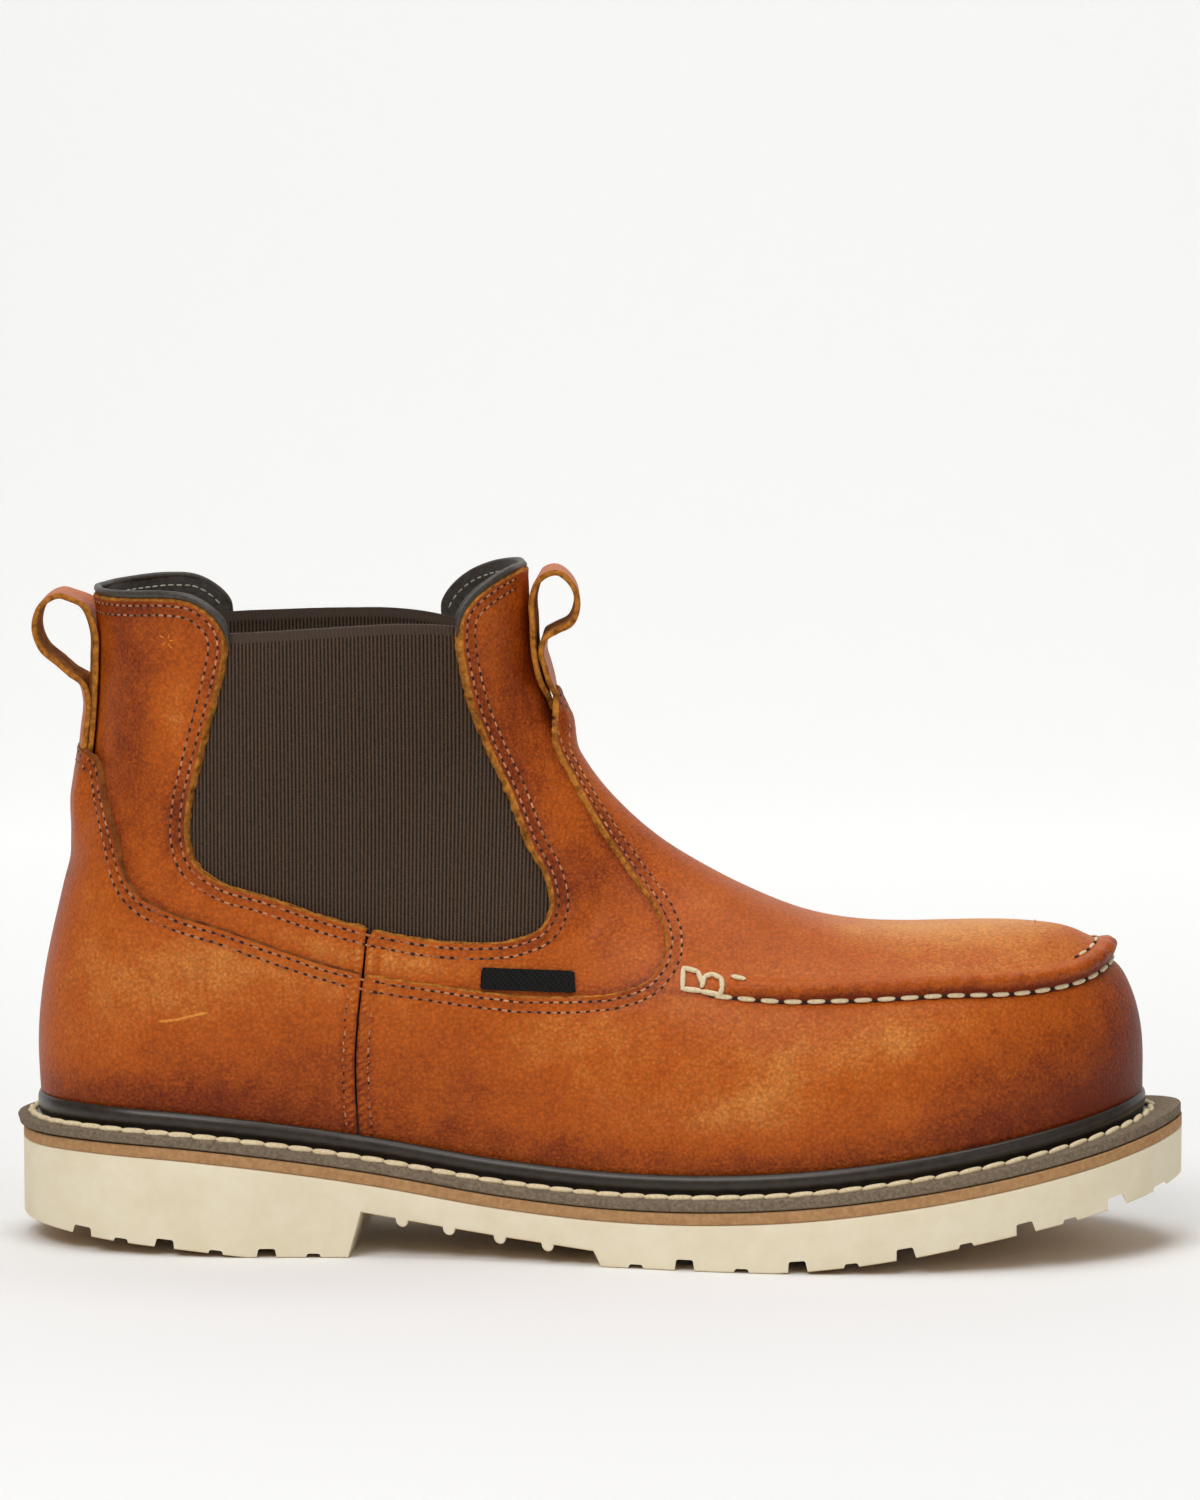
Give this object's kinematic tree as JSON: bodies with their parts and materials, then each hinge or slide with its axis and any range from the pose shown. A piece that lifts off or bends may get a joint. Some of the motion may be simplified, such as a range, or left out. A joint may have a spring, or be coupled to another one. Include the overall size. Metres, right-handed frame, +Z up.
{
  "type": "chelsea work boot",
  "caption": "Right-foot chelsea work boot: hollow tan leather upper with a moccasin toe, elastic side gores, collar rolls and pull loops, on a cream rocker sole with a dark beaded welt.",
  "frame": {"origin": "on the floor, under the middle of the boot's plan", "axes": "+X to the toe, +Z up, the wearer's outer side at -Y"},
  "size_m": [0.316, 0.1082, 0.1868],
  "materials": {
    "cream_rubber": "matte",
    "tan_midsole": "matte",
    "brown_rubber": "satin",
    "insole_brown": "matte",
    "tan_leather": "satin",
    "brown_elastic": "matte",
    "dark_leather": "satin",
    "black_tape": "matte"
  },
  "bodies": {
    "root": {"outsole": "cream_rubber", "midsole": "tan_midsole", "welt": "brown_rubber", "insole": "insole_brown", "upper": "tan_leather", "gore_outer": "brown_elastic", "gore_inner": "brown_elastic", "collar_roll_back": "dark_leather", "collar_roll_front": "dark_leather", "pull_loop_back": "tan_leather", "pull_loop_front": "tan_leather", "side_tab": "black_tape"}
  },
  "joints": []
}
